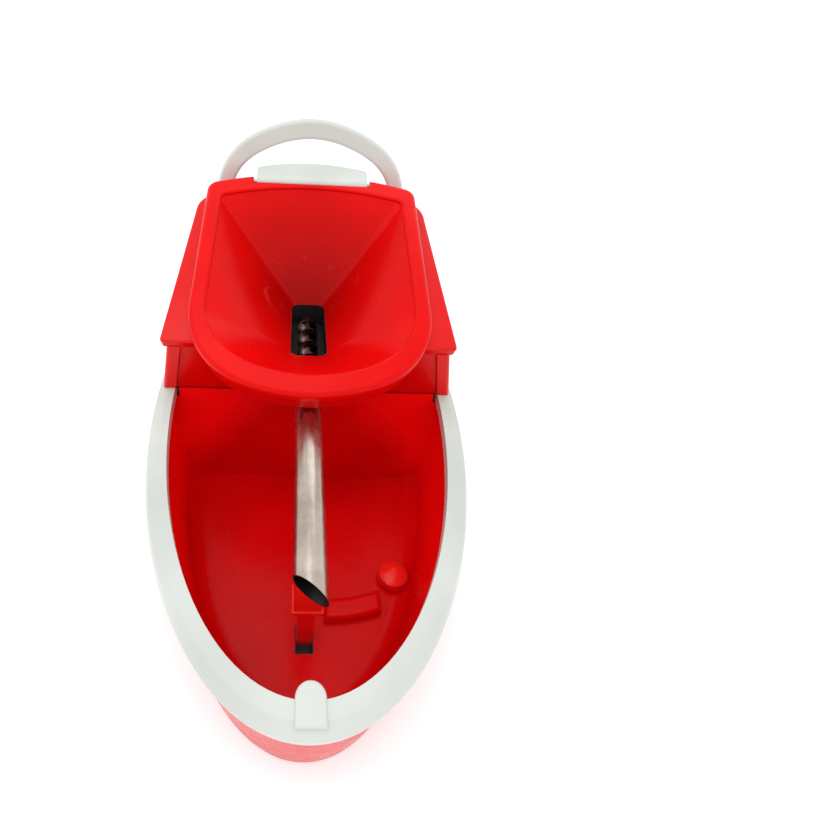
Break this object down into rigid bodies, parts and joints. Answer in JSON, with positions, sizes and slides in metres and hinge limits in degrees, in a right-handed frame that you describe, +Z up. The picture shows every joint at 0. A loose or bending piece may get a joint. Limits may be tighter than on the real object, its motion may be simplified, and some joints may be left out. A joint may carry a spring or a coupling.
{
  "type": "mop bucket with wringer",
  "caption": "Boat-shaped mop bucket with a light rim ring and a lift-out wringer: slanted D-shaped hopper, feed screw, slanted-end drain tube, tub drain plug.",
  "frame": {"origin": "floor level, under the middle of the overall length and width", "axes": "+Z up, +Y towards the wringer end, +X to the right of someone facing the wringer"},
  "size_m": [0.311, 0.512, 0.3311],
  "materials": {
    "red_plastic": "glossy moulded",
    "grey_plastic": "satin moulded",
    "black_plastic": "matt moulded",
    "tube_steel": "drawn tube",
    "screw_steel": "turned",
    "rubber": "matt",
    "pin_steel": "plated"
  },
  "bodies": {
    "tub": {"tub": "red_plastic", "rim_ring": "grey_plastic", "post_socket": "black_plastic", "saddle_post": "red_plastic", "foot_front_left": "rubber", "foot_front_right": "rubber", "foot_rear_left": "rubber", "foot_rear_right": "rubber", "foot_screw_front_left": "pin_steel", "foot_screw_front_right": "pin_steel", "foot_screw_rear_left": "pin_steel", "foot_screw_rear_right": "pin_steel"},
    "drain_plug": {"drain_plug": "red_plastic", "plug_seal": "rubber"},
    "wringer": {"hopper": "red_plastic", "wringer_housing": "red_plastic", "slot_liner": "black_plastic", "drain_tube": "tube_steel", "tube_gland": "black_plastic", "rear_bush": "black_plastic", "handle_pin_left": "pin_steel", "handle_pin_right": "pin_steel"},
    "screw": {"screw_shaft": "screw_steel", "screw_flight": "screw_steel", "clean_out_knob": "black_plastic", "knob_screw": "pin_steel"},
    "grip": {"grip_bar": "grey_plastic", "grip_pin_left": "pin_steel", "grip_pin_right": "pin_steel"},
    "rear_handle": {"rear_handle": "grey_plastic"}
  },
  "joints": [
    {"name": "wringer_lift", "type": "slide", "parent": "tub", "child": "wringer", "axis": [0, 0, 1], "range_m": [0, 0.25]},
    {"name": "drain_plug_pull", "type": "slide", "parent": "tub", "child": "drain_plug", "axis": [0, 0, 1], "range_m": [0, 0.06]},
    {"name": "screw_spin", "type": "hinge", "parent": "wringer", "child": "screw", "pos_m": [0, 0, 0.146], "axis": [0, 1, 0], "continuous": true},
    {"name": "grip_flip", "type": "hinge", "parent": "wringer", "child": "grip", "pos_m": [0, 0.21779, 0.27851], "axis": [1, 0, 0], "range_deg": [0, 95]},
    {"name": "rear_handle_fold", "type": "hinge", "parent": "wringer", "child": "rear_handle", "pos_m": [0, 0.247, 0.206], "axis": [1, 0, 0], "range_deg": [-110, 0]}
  ]
}
